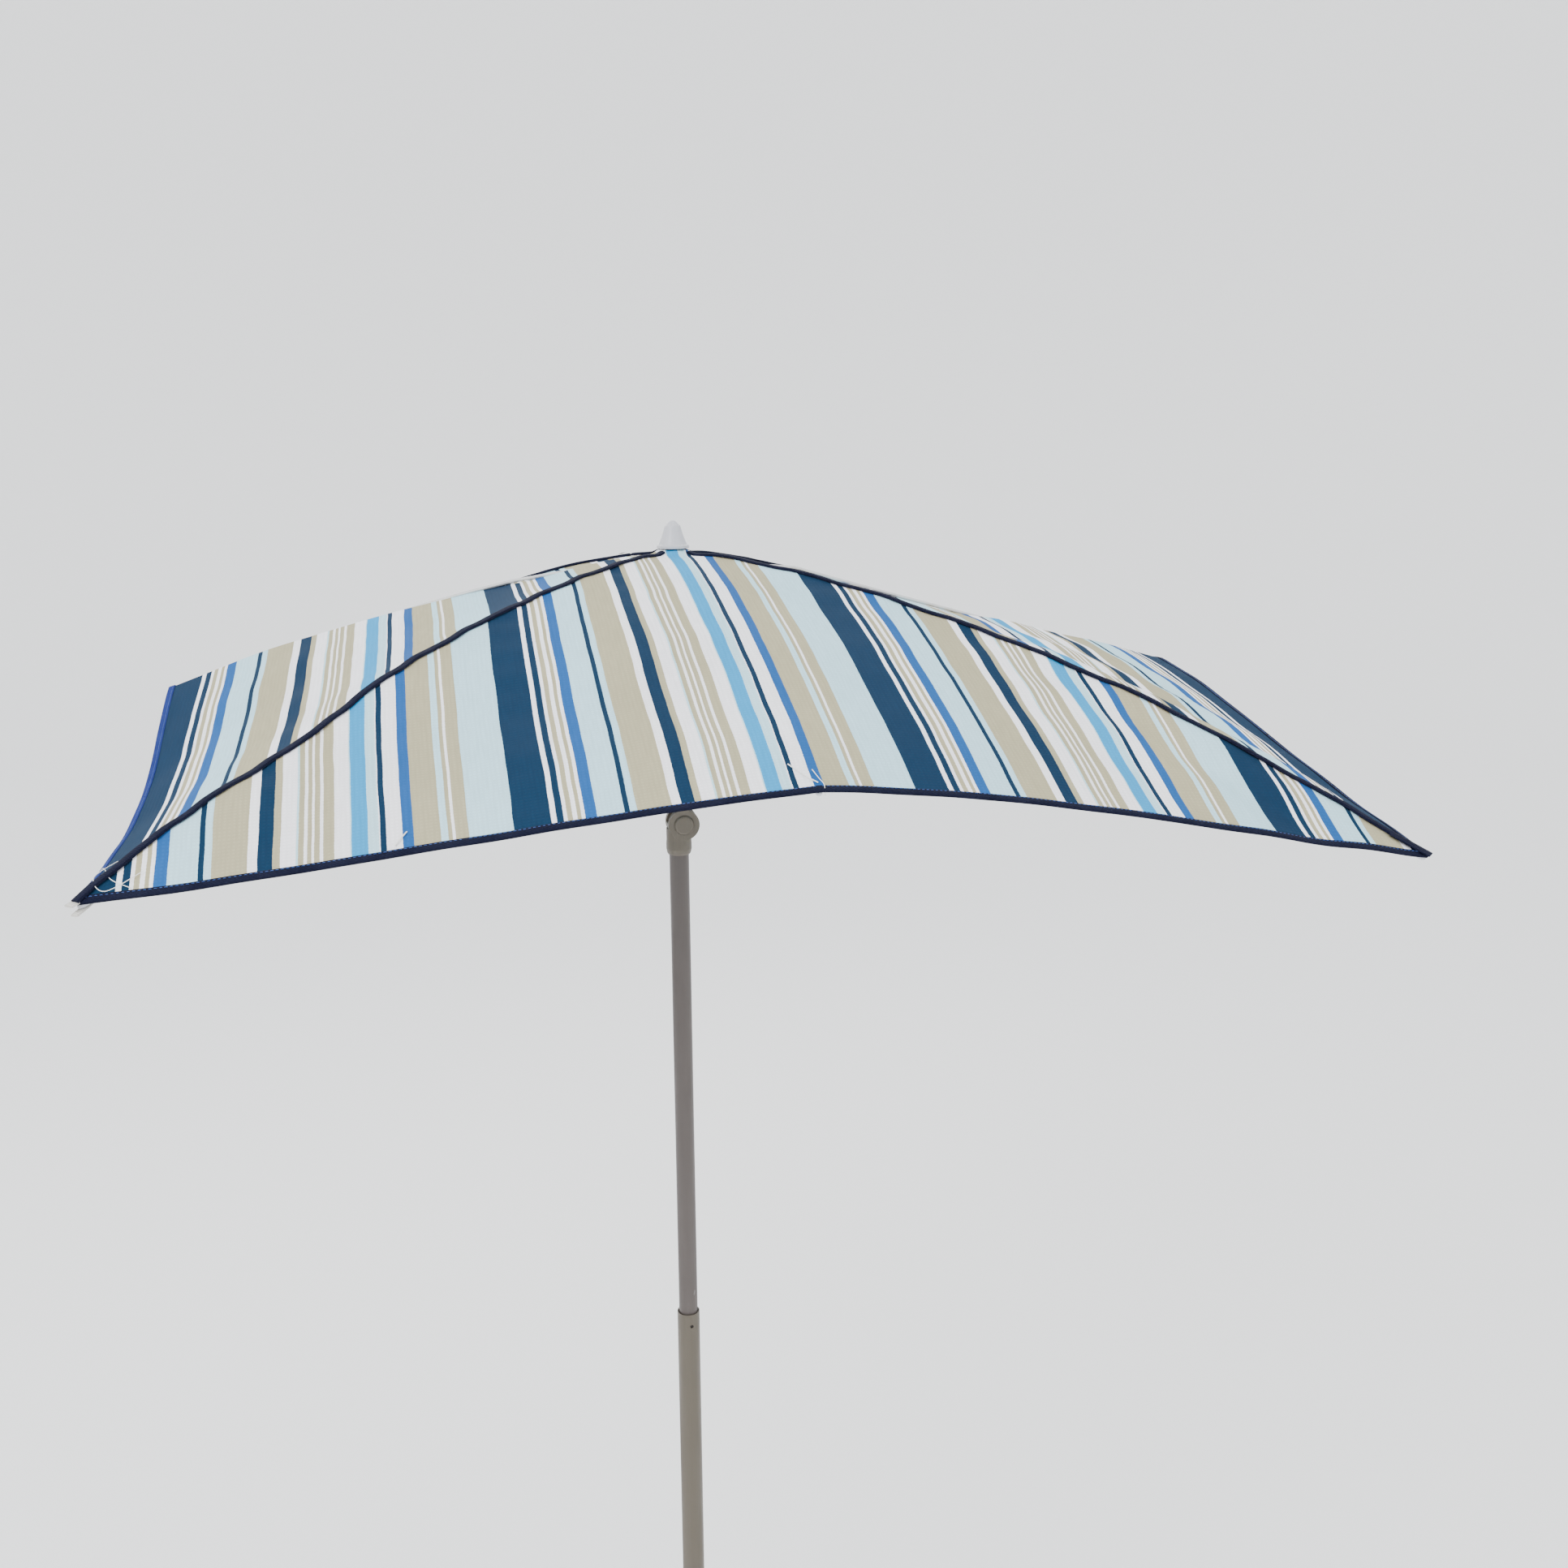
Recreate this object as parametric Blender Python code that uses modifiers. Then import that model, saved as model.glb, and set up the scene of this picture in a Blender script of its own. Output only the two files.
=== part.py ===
"""Square beach umbrella: telescopic pole, tilt joint, eight folding ribs and a striped canopy.

Units are metres, +Z is up, and the origin is the centre of the pole's foot. The canopy is 1.25 m
square. It is modelled open, untilted and at full height.
"""

import math

import bmesh
import bpy
from mathutils import Matrix, Vector

# ---------------------------------------------------------------- driving dimensions
APEX_Z = 1.9660           # underside of the finial, where the fabric meets it
HALF_WIDTH = 0.625        # canopy half size along X
HALF_DEPTH = 0.625        # canopy half size along Y
CANOPY_SHIFT = 0.027      # the canopy sits a little to the +X side of the pole
FRONT_RIB_LEAN = 0.009    # the front and back ribs' tips stand this far off the canopy's centre line

POLE_R = 0.0125           # upper and middle tube, 25 mm
POLE_WALL = 0.0012
LOWER_R = 0.0150          # lower tube, 30 mm
LOWER_BORE = 0.0138
SLEEVE_TOP = APEX_Z - 1.030
POLE_OVERLAP = 0.120      # how deep the middle tube sits in the lower one
FOOT_FLANGE = 0.006

PIVOT_X = 0.0050          # tilt axis, off the pole's centre line
PIVOT_Z = APEX_Z - 0.3471
CHEEK_R = 0.0198
CHEEK_HALF = 0.0150       # half thickness of the fork, along Y
TONGUE_R = 0.0170
TONGUE_HALF = 0.0072
SOCKET_R = 0.0162
SOCKET_BORE = 0.0128
TILT_BUTTON_R = 0.0125

HUB_Z = APEX_Z - 0.0165    # plane of the rib hinges
RING_R = 0.020            # radius of both wire rings, which the hinge axes touch
WIRE_R = 0.0011
GROOVE_HALF = 0.0014
FLANGE_R = 0.0245
FLANGE_HALF = 0.006

RIB_R = 0.0022
RIB_SLOPE = 0.085         # fall per metre, from the hub to the stretcher's lug
RIB_BEND_FROM = 0.135     # the rib bends down beyond this distance from its hinge
STRETCHER = 0.122         # hinge to hinge, on the stretcher and on the rib
LUG_DROP = 0.0085         # lug hinge below the rib's centre line
FABRIC_LIFT = 0.0056      # fabric centre above the rib's centre line
FABRIC_T = 0.0012
TIP_BACK = 0.017          # the rod ends this far inside the canopy's edge

CATCH_AZIMUTH = math.radians(150)
SNAP_AZIMUTH = math.radians(-82)
SNAP_BELOW_RIM = 0.0170
GAP = 0.0003

LUG_ANGLE = math.atan(RIB_SLOPE) + math.asin(LUG_DROP / STRETCHER)
RUNNER_Z = HUB_Z - 2 * STRETCHER * math.sin(LUG_ANGLE)
RUNNER_LOW = RUNNER_Z - 0.030

# name, tip x, tip y, fall of the fabric at the tip, and how sharply the rib bends (exponent)
RIBS = (
    ("right", HALF_WIDTH + CANOPY_SHIFT, 0.0, 0.163, 0.95),
    ("back_right", HALF_WIDTH + CANOPY_SHIFT, HALF_DEPTH, 0.267, 1.4),
    ("back", CANOPY_SHIFT - FRONT_RIB_LEAN, HALF_DEPTH, 0.168, 1.45),
    ("back_left", CANOPY_SHIFT - HALF_WIDTH, HALF_DEPTH, 0.236, 0.95),
    ("left", CANOPY_SHIFT - HALF_WIDTH, 0.0, 0.150, 1.35),
    ("front_left", CANOPY_SHIFT - HALF_WIDTH, -HALF_DEPTH, 0.229, 1.6),
    ("front", CANOPY_SHIFT + FRONT_RIB_LEAN, -HALF_DEPTH, 0.168, 1.45),
    ("front_right", HALF_WIDTH + CANOPY_SHIFT, -HALF_DEPTH, 0.267, 1.75),
)


# ---------------------------------------------------------------- scene and materials
for old in list(bpy.data.objects):
    bpy.data.objects.remove(old, do_unlink=True)

PARTS = bpy.data.collections.new("beach_umbrella")
CUTTERS = bpy.data.collections.new("cutters")
bpy.context.scene.collection.children.link(PARTS)
bpy.context.scene.collection.children.link(CUTTERS)


def material(name, color, roughness, metallic=0.0):
    mat = bpy.data.materials.new(name)
    mat.use_nodes = True
    shader = mat.node_tree.nodes["Principled BSDF"]
    shader.inputs["Base Color"].default_value = (*color, 1)
    shader.inputs["Roughness"].default_value = roughness
    shader.inputs["Metallic"].default_value = metallic
    return mat


PAINT = material("taupe_paint", (0.165, 0.140, 0.125), 0.45, 0.2)
LOWER_PAINT = material("lower_tube_paint", (0.195, 0.165, 0.130), 0.50, 0.2)
GREY_PLASTIC = material("taupe_plastic", (0.150, 0.130, 0.105), 0.55)
WHITE_PLASTIC = material("white_plastic", (0.70, 0.70, 0.71), 0.40)
STEEL = material("zinc_steel", (0.55, 0.55, 0.56), 0.35, 0.9)
RIB_COAT = material("coated_steel", (0.62, 0.62, 0.60), 0.40, 0.3)
FABRIC = material("striped_fabric", (0.45, 0.55, 0.60), 0.85)


# ---------------------------------------------------------------- modelling helpers
def add(name, mesh, mat, location=(0, 0, 0), rotation=(0, 0, 0), smooth=True):
    """Puts a mesh into the assembly as a named piece."""
    obj = bpy.data.objects.new(name, mesh)
    PARTS.objects.link(obj)
    obj.location = location
    obj.rotation_euler = rotation
    mesh.materials.clear()
    mesh.materials.append(mat)
    if smooth:
        mesh.shade_smooth()
        mesh.set_sharp_from_angle(angle=math.radians(35))
    return obj


def as_tool(obj):
    """Keeps an object only as the second operand of a Boolean."""
    for collection in obj.users_collection:
        collection.objects.unlink(obj)
    CUTTERS.objects.link(obj)
    obj.hide_render = True
    obj.display_type = "WIRE"
    return obj


def tool(name, mesh, location=(0, 0, 0), rotation=(0, 0, 0)):
    obj = bpy.data.objects.new(name, mesh)
    CUTTERS.objects.link(obj)
    obj.location = location
    obj.rotation_euler = rotation
    return as_tool(obj)


def boolean(obj, operation, *tools):
    for other in tools:
        step = obj.modifiers.new(operation.lower(), "BOOLEAN")
        step.operation = operation
        step.object = other
    return obj


def box_mesh(name, low, high):
    low, high = Vector(low), Vector(high)
    bm = bmesh.new()
    bmesh.ops.create_cube(bm, size=1.0)
    size = high - low
    bmesh.ops.transform(bm, verts=bm.verts, matrix=Matrix.Translation((low + high) / 2)
                        @ Matrix.Diagonal((*size, 1)))
    mesh = bpy.data.meshes.new(name)
    bm.to_mesh(mesh)
    bm.free()
    return mesh


def disc_mesh(name, radius, low, high, axis="Z", sides=24):
    """A cylinder from low to high along an axis."""
    turn = {"X": Matrix.Rotation(math.pi / 2, 4, "Y"), "Y": Matrix.Rotation(-math.pi / 2, 4, "X"),
            "Z": Matrix.Identity(4)}[axis]
    bm = bmesh.new()
    bmesh.ops.create_cone(bm, cap_ends=True, segments=sides, radius1=radius, radius2=radius,
                          depth=high - low,
                          matrix=turn @ Matrix.Translation((0, 0, (low + high) / 2)))
    mesh = bpy.data.meshes.new(name)
    bm.to_mesh(mesh)
    bm.free()
    return mesh


def plate_mesh(name, outline, half):
    """A plate in the XZ plane, from its outline, as thick as twice half along Y."""
    count = len(outline)
    verts = [(x, side * half, z) for side in (-1, 1) for x, z in outline]
    sides = [(i, (i + 1) % count, (i + 1) % count + count, i + count) for i in range(count)]
    mesh = bpy.data.meshes.new(name)
    mesh.from_pydata(verts, [], [tuple(range(count)), tuple(reversed(range(count, 2 * count))), *sides])
    bm = bmesh.new()
    bm.from_mesh(mesh)
    bmesh.ops.recalc_face_normals(bm, faces=bm.faces)
    bm.to_mesh(mesh)
    bm.free()
    return mesh


def tab_outline(centre, radius, direction, length, half_width, sides):
    """A round eye at the centre with a straight neck that runs off in a direction."""
    ux, uz = direction
    start = math.asin(half_width / radius)
    heading = math.atan2(uz, ux)
    turns = [heading + start + (math.tau - 2 * start) * i / sides for i in range(sides + 1)]
    arc = [(centre[0] + radius * math.cos(t), centre[1] + radius * math.sin(t)) for t in turns]
    corners = [(centre[0] + ux * length + side * uz * half_width,
                centre[1] + uz * length - side * ux * half_width) for side in (1, -1)]
    return arc + corners


def turned(name, profile, steps, ring=False):
    """A turned piece about Z, from (radius, height) points that run down its outer side.

    A ring's profile is a closed loop, and any other profile starts and ends on the axis.
    """
    mesh = bpy.data.meshes.new(name)
    edges = [(i, i + 1) for i in range(len(profile) - 1)]
    if ring:
        edges.append((len(profile) - 1, 0))
    mesh.from_pydata([(r, 0, z) for r, z in profile], edges, [])
    obj = bpy.data.objects.new(name, mesh)
    CUTTERS.objects.link(obj)
    screw = obj.modifiers.new("turn", "SCREW")
    screw.axis = "Z"
    screw.angle = math.tau
    screw.steps = steps
    screw.render_steps = steps
    screw.use_merge_vertices = True
    screw.merge_threshold = 0.00001
    return baked(obj)


def baked(obj):
    """The object's evaluated mesh, welded. The object itself is removed."""
    graph = bpy.context.evaluated_depsgraph_get()
    graph.update()
    mesh = bpy.data.meshes.new_from_object(obj.evaluated_get(graph))
    name = obj.name
    bpy.data.objects.remove(obj, do_unlink=True)
    mesh.name = name
    bm = bmesh.new()
    bm.from_mesh(mesh)
    bmesh.ops.remove_doubles(bm, verts=bm.verts, dist=0.000005)
    bm.to_mesh(mesh)
    bm.free()
    return mesh


def wire_mesh(name, points, radius, sides_level=2):
    """A round rod along a list of points."""
    curve = bpy.data.curves.new(name, "CURVE")
    curve.dimensions = "3D"
    curve.bevel_depth = radius
    curve.bevel_resolution = sides_level
    curve.use_fill_caps = True
    line = curve.splines.new("POLY")
    line.points.add(len(points) - 1)
    for point, where in zip(line.points, points):
        point.co = (*where, 1)
    obj = bpy.data.objects.new(name, curve)
    CUTTERS.objects.link(obj)
    return baked(obj)


def strip_mesh(name, points, width, thickness):
    """A flat spring: a line of (x, z) points, drawn out along Y and thickened."""
    mesh = bpy.data.meshes.new(name)
    verts = [(x, side * width / 2, z) for x, z in points for side in (-1, 1)]
    faces = [(2 * i, 2 * i + 1, 2 * i + 3, 2 * i + 2) for i in range(len(points) - 1)]
    mesh.from_pydata(verts, [], faces)
    obj = bpy.data.objects.new(name, mesh)
    CUTTERS.objects.link(obj)
    solid = obj.modifiers.new("thickness", "SOLIDIFY")
    solid.thickness = thickness
    solid.offset = 0
    return baked(obj)


def tube(name, radius, bore, low, high, mat, steps=32):
    mesh = turned(name, [(radius, high), (radius, low), (bore, low), (bore, high)], steps, ring=True)
    return add(name, mesh, mat)


def drilled(obj, radius, azimuth, height, reach):
    """Drills one wall of an upright tube at a height and azimuth."""
    drill = tool(obj.name + "_drill", disc_mesh(obj.name + "_drill", radius, 0.004, reach, "X", 16),
                 (0, 0, height), (0, 0, azimuth))
    return boolean(obj, "DIFFERENCE", drill)


# ---------------------------------------------------------------- pole
def lower_pole():
    tube("lower_pole", LOWER_R, LOWER_BORE, FOOT_FLANGE + GAP, SLEEVE_TOP, LOWER_PAINT)
    drilled(bpy.data.objects["lower_pole"], 0.0024, SNAP_AZIMUTH, SLEEVE_TOP - SNAP_BELOW_RIM, 0.02)
    plug_r = LOWER_BORE - GAP
    profile = [(0, 0.034), (plug_r - 0.002, 0.034), (plug_r, 0.031), (plug_r, FOOT_FLANGE),
               (LOWER_R, FOOT_FLANGE), (LOWER_R, 0.002), (LOWER_R - 0.002, 0.0), (0, 0.0)]
    add("pole_foot_plug", turned("pole_foot_plug", profile, 32), GREY_PLASTIC)


def middle_pole():
    low = SLEEVE_TOP - POLE_OVERLAP
    high = PIVOT_Z - CHEEK_R - 0.006
    pole = tube("middle_pole", POLE_R, POLE_R - POLE_WALL, low, high, PAINT)
    drilled(pole, 0.0024, SNAP_AZIMUTH, SLEEVE_TOP - SNAP_BELOW_RIM, 0.02)


def snap_button():
    """A domed pin that the inner tube's spring pushes out through both tubes."""
    inner = POLE_R - POLE_WALL
    head = [(0, 0.0147), (0.0011, 0.0144), (0.0020, 0.0137), (0.0020, inner - GAP),
            (0.0033, inner - GAP - 0.0006), (0.0033, 0.0088), (0, 0.0088)]
    height = SLEEVE_TOP - SNAP_BELOW_RIM
    add("snap_button", turned("snap_button", head, 16), STEEL, (0, 0, height),
        (0, math.pi / 2, SNAP_AZIMUTH))
    leaf = [(0.0084, 0.004), (0.0083, -0.004), (0.0072, -0.010), (-0.0060, -0.040), (-0.0088, -0.048),
            (-0.0098, -0.053), (-0.0104, -0.060), (-0.0106, -0.075)]
    add("snap_spring", strip_mesh("snap_spring", leaf, 0.0056, 0.0006), STEEL,
        (0, 0, height - 0.002), (0, 0, SNAP_AZIMUTH), smooth=False)


# ---------------------------------------------------------------- tilt joint
def pivot_disc(name, radius, low, high, sides=36):
    return tool(name, disc_mesh(name, radius, low, high, "Y", sides), (PIVOT_X, 0, PIVOT_Z))


def knuckle_lower():
    """Socket for the middle tube, with a fork of two round cheeks."""
    bottom = PIVOT_Z - CHEEK_R - 0.020
    tube_end = PIVOT_Z - CHEEK_R - 0.006 + GAP
    top = PIVOT_Z - 0.0062
    profile = [(0, top), (SOCKET_R - 0.0004, top), (SOCKET_R - 0.0004, bottom + 0.019),
               (SOCKET_R, bottom + 0.014), (SOCKET_R, bottom + 0.007), (SOCKET_R - 0.0010, bottom + 0.002),
               (SOCKET_R - 0.0021, bottom), (SOCKET_BORE, bottom), (SOCKET_BORE, tube_end),
               (0, tube_end)]
    body = add("knuckle_lower", turned("knuckle_lower", profile, 32), GREY_PLASTIC)
    boolean(body, "UNION", pivot_disc("cheek_pair", CHEEK_R, -CHEEK_HALF, CHEEK_HALF))
    slot = TONGUE_HALF + 0.0004
    opening = box_mesh("tongue_slot", (-0.03, -slot, PIVOT_Z + 0.0012), (0.03, slot, PIVOT_Z + 0.03))
    boolean(body, "DIFFERENCE",
            pivot_disc("tongue_room", TONGUE_R + 0.0008, -slot, slot),
            tool("tongue_slot", opening),
            pivot_disc("button_room", TILT_BUTTON_R + GAP, -0.03, -0.0103, 32),
            pivot_disc("pin_hole", 0.0033, -0.02, 0.02, 16))


def knuckle_upper():
    """Socket for the upper tube, with the tongue that turns in the fork."""
    low, high = PIVOT_Z + 0.0206, PIVOT_Z + 0.040
    profile = [(0, low + 0.004), (SOCKET_BORE, low + 0.004), (SOCKET_BORE, high), (SOCKET_R - 0.0021, high),
               (SOCKET_R - 0.0006, high - 0.003), (SOCKET_R, high - 0.007), (SOCKET_R, low + 0.002),
               (SOCKET_R - 0.0010, low), (0, low)]
    body = add("knuckle_upper", turned("knuckle_upper", profile, 32), GREY_PLASTIC)
    tongue = plate_mesh("tongue", tab_outline((0, 0), TONGUE_R, (0, 1), 0.0222, 0.0094, 28), TONGUE_HALF)
    boolean(body, "UNION", tool("tongue", tongue, (PIVOT_X, 0, PIVOT_Z)))
    boolean(body, "DIFFERENCE", pivot_disc("tongue_pin_hole", 0.0034, -0.02, 0.02, 16))


def tilt_hardware():
    """Push button, its spring and the pin that the head tilts on, all along Y."""
    pin = [(0, 0.0170), (0.0040, 0.0170), (0.0055, 0.0162), (0.0055, 0.0153), (0.0030, 0.0153),
           (0.0030, -0.0098), (0, -0.0098)]
    add("tilt_pin", turned("tilt_pin", pin, 24), STEEL, (PIVOT_X, 0, PIVOT_Z), (-math.pi / 2, 0, 0))
    face, back, recess = 0.0176, 0.0128, 0.0158
    cap = [(0, face), (TILT_BUTTON_R - 0.0030, face), (TILT_BUTTON_R - 0.0012, face - 0.0005),
           (TILT_BUTTON_R, face - 0.0018), (TILT_BUTTON_R, back), (0.0100, back), (0.0100, recess),
           (0.0042, recess), (0.0042, back), (0, back)]
    add("tilt_button", turned("tilt_button", cap, 24), GREY_PLASTIC, (PIVOT_X, 0, PIVOT_Z),
        (math.pi / 2, 0, 0))
    turns, coil_r, low, high = 3, 0.0070, 0.0109, 0.0152
    count = turns * 12
    points = [(coil_r * math.cos(math.tau * i / 12), coil_r * math.sin(math.tau * i / 12),
               low + (high - low) * i / count) for i in range(count + 1)]
    add("tilt_spring", wire_mesh("tilt_spring", points, 0.0005, 1), STEEL, (PIVOT_X, 0, PIVOT_Z),
        (math.pi / 2, 0, 0))


def upper_pole():
    low = PIVOT_Z + 0.0206 + 0.004 + GAP
    high = APEX_Z - 0.0263
    pole = tube("upper_pole", POLE_R, POLE_R - POLE_WALL, low, high, PAINT)
    window = box_mesh("catch_window", (0.004, -0.0022, -0.0240), (0.02, 0.0022, 0.0006))
    boolean(pole, "DIFFERENCE", tool("catch_window", window, (0, 0, RUNNER_LOW - 0.0008),
                                     (0, 0, CATCH_AZIMUTH)))


# ---------------------------------------------------------------- hub and runner
def slotted(obj, height, width, floor_r=0.0150):
    """One radial slot for each rib, cut through the flange at a height."""
    for name, x, y, _, _ in RIBS:
        mesh = box_mesh(obj.name + "_slot", (floor_r, -width / 2, -FLANGE_HALF - 0.001),
                        (FLANGE_R + 0.003, width / 2, FLANGE_HALF + 0.001))
        slot = tool(f"{obj.name}_slot_{name}", mesh, (0, 0, height), (0, 0, math.atan2(y, x)))
        boolean(obj, "DIFFERENCE", slot)


def flange_profile(height):
    """The outer side of a grooved flange, top to bottom."""
    groove_r = RING_R - 0.0020
    return [(FLANGE_R - 0.0010, height + FLANGE_HALF), (FLANGE_R, height + FLANGE_HALF - 0.0010),
            (FLANGE_R, height + GROOVE_HALF), (groove_r, height + GROOVE_HALF),
            (groove_r, height - GROOVE_HALF), (FLANGE_R, height - GROOVE_HALF),
            (FLANGE_R, height - FLANGE_HALF + 0.0010), (FLANGE_R - 0.0010, height - FLANGE_HALF)]


def hub():
    top, bottom = APEX_Z - 0.0045, HUB_Z - 0.028
    pole_end = APEX_Z - 0.0263 + GAP
    profile = [(0.0063, top), (0.0140, top), (0.0140, HUB_Z + FLANGE_HALF), *flange_profile(HUB_Z),
               (0.0165, HUB_Z - FLANGE_HALF), (0.0165, bottom), (SOCKET_BORE, bottom),
               (SOCKET_BORE, pole_end), (0.0063, pole_end)]
    crown = add("hub", turned("hub", profile, 32, ring=True), WHITE_PLASTIC)
    slotted(crown, HUB_Z, 0.0034)
    ring("hub_ring", HUB_Z)


def ring(name, height):
    bpy.ops.mesh.primitive_torus_add(major_radius=RING_R, minor_radius=WIRE_R, major_segments=32,
                                     minor_segments=6)
    torus = bpy.context.active_object
    mesh = torus.data.copy()
    bpy.data.objects.remove(torus, do_unlink=True)
    add(name, mesh, STEEL, (0, 0, height))


def runner():
    bore = POLE_R + 0.0005
    profile = [(bore, RUNNER_Z + FLANGE_HALF), *flange_profile(RUNNER_Z),
               (0.0165, RUNNER_Z - FLANGE_HALF), (0.0165, RUNNER_LOW + 0.006), (0.0205, RUNNER_LOW + 0.004),
               (0.0205, RUNNER_LOW + 0.001), (0.0195, RUNNER_LOW), (bore, RUNNER_LOW)]
    sleeve = add("runner", turned("runner", profile, 32, ring=True), WHITE_PLASTIC)
    slotted(sleeve, RUNNER_Z, 0.0054)
    ring("runner_ring", RUNNER_Z)


def runner_catch():
    """A wedge that stands out of the upper tube under the runner, and its flat spring."""
    top = RUNNER_LOW - 0.0008
    wedge = [(0.0084, 0.0), (0.0156, 0.0), (0.0156, -0.0020), (0.0130, -0.0190), (0.0084, -0.0205)]
    mesh = bpy.data.meshes.new("runner_catch")
    count = len(wedge)
    verts = [(x, side * 0.0018, z) for side in (-1, 1) for x, z in wedge]
    sides = [(i, i + count, (i + 1) % count + count, (i + 1) % count) for i in range(count)]
    mesh.from_pydata(verts, [], [tuple(range(count)), tuple(reversed(range(count, 2 * count))), *sides])
    bm = bmesh.new()
    bm.from_mesh(mesh)
    bmesh.ops.recalc_face_normals(bm, faces=bm.faces)
    bm.to_mesh(mesh)
    bm.free()
    add("runner_catch", mesh, STEEL, (0, 0, top), (0, 0, CATCH_AZIMUTH), smooth=False)
    leaf = [(0.0078, -0.002), (0.0077, -0.012), (0.0062, -0.018), (-0.0060, -0.040), (-0.0090, -0.047),
            (-0.0104, -0.054), (-0.0106, -0.068)]
    add("catch_spring", strip_mesh("catch_spring", leaf, 0.0050, 0.0006), STEEL, (0, 0, top),
        (0, 0, CATCH_AZIMUTH), smooth=False)


# ---------------------------------------------------------------- ribs
def rib_fall(distance, length, tip_fall, bend):
    """How far the rib's centre line is below its hinge, at a distance from the hinge."""
    extra = tip_fall - RIB_SLOPE * length
    past = max(0.0, distance - RIB_BEND_FROM) / (length - RIB_BEND_FROM)
    return RIB_SLOPE * distance + extra * past ** bend


def rib_size(x, y, fabric_fall):
    """The rib's length from hinge to tip, its tip's height and its azimuth, on its centre line."""
    return math.hypot(x, y) - RING_R, APEX_Z - fabric_fall - FABRIC_LIFT, math.atan2(y, x)


def rib(name, x, y, fabric_fall, bend):
    length, tip_z, azimuth = rib_size(x, y, fabric_fall)
    tip_fall = HUB_Z - tip_z
    hinge = (RING_R * math.cos(azimuth), RING_R * math.sin(azimuth), HUB_Z)
    end = length - TIP_BACK
    start, count = 0.011, 10
    stations = [start + (end - start) * i / count for i in range(count + 1)]
    points = [(d, 0, -rib_fall(d, length, tip_fall, bend)) for d in stations]
    rod = add("rib_" + name, wire_mesh("rib_" + name, points, RIB_R), RIB_COAT, hinge, (0, 0, azimuth))

    slope_angle = math.atan(RIB_SLOPE)
    lug_x, lug_z = STRETCHER * math.cos(LUG_ANGLE), -STRETCHER * math.sin(LUG_ANGLE)
    place = dict(location=hinge, rotation=(0, 0, azimuth))
    along = (math.cos(slope_angle), -math.sin(slope_angle))
    up = (math.sin(slope_angle), math.cos(slope_angle))
    eye = plate_mesh("eye", tab_outline((0, 0), 0.0040, along, 0.0140, 0.0019, 12), 0.0013)
    lug = plate_mesh("lug", tab_outline((lug_x, lug_z), 0.0030, up, LUG_DROP, 0.0024, 10), 0.0010)
    boolean(rod, "UNION", *(tool(f"{mesh.name}_{name}", mesh, **place) for mesh in (eye, lug)))
    eye_hole = disc_mesh("eye_hole", 0.0015, -0.005, 0.005, "Y", 10)
    lug_hole = disc_mesh("lug_hole", 0.0016, -0.005, 0.005, "Y", 10)
    lug_hole.transform(Matrix.Translation((lug_x, 0, lug_z)))
    holes = [tool(f"{mesh.name}_{name}", mesh, **place) for mesh in (eye_hole, lug_hole)]
    boolean(rod, "DIFFERENCE", *holes)

    def across(distance, height):
        """A point at a distance along the rib and a height, in the assembly's frame."""
        return (hinge[0] + distance * math.cos(azimuth), hinge[1] + distance * math.sin(azimuth),
                HUB_Z + height)

    add("stretcher_" + name, SHARED["stretcher"], RIB_COAT,
        (hinge[0], hinge[1], RUNNER_Z), (0, -LUG_ANGLE, azimuth))
    add("stretcher_pin_" + name, SHARED["stretcher_pin"], STEEL, across(lug_x, lug_z),
        (math.pi / 2, 0, azimuth))
    before = points[-2]
    tangent = math.atan2(before[2] - points[-1][2], points[-1][0] - before[0])
    add("rib_tip_" + name, SHARED["rib_tip"], WHITE_PLASTIC, across(end, points[-1][2]),
        (0, math.pi / 2 + tangent, azimuth))


def stretcher_mesh():
    """A pressed channel between two hinge holes: two walls with round ends and a floor."""
    walls = []
    for side in (-1, 1):
        low, high = sorted((side * 0.0015, side * 0.0023))
        wall = add(f"wall_{side}", box_mesh("wall", (0, low, -0.0040), (STRETCHER, high, 0.0028)), RIB_COAT)
        ends = []
        for where, label in ((0, "in"), (STRETCHER, "out")):
            end = disc_mesh("end", 0.0030, low, high, "Y", 12)
            end.transform(Matrix.Translation((where, 0, 0)))
            ends.append(tool(f"end_{label}_{side}", end))
            trim = box_mesh("trim", (-0.004, -0.004, -0.006), (0.0065, 0.004, -0.0028))
            trim.transform(Matrix.Translation((STRETCHER - 0.0025 if where else 0, 0, 0)))
            boolean(wall, "DIFFERENCE", tool(f"trim_{label}_{side}", trim))
        boolean(wall, "UNION", *ends)
        walls.append(wall)
    floor = add("floor", box_mesh("floor", (0.0075, -0.0023, -0.0044), (STRETCHER - 0.0105, 0.0023, -0.0036)),
                RIB_COAT)
    holes = []
    for where in (0, STRETCHER):
        hole = disc_mesh("hole", 0.0016, -0.005, 0.005, "Y", 10)
        hole.transform(Matrix.Translation((where, 0, 0)))
        holes.append(tool(f"hole_{where:.3f}", hole))
    boolean(floor, "UNION", *(as_tool(wall) for wall in walls))
    boolean(floor, "DIFFERENCE", *holes)
    return baked(floor)


def pin_mesh():
    profile = [(0, 0.0033), (0.0022, 0.0033), (0.0022, 0.0026), (0.0012, 0.0026), (0.0012, -0.0026),
               (0.0022, -0.0026), (0.0022, -0.0033), (0, -0.0033)]
    return turned("stretcher_pin", profile, 10)


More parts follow.
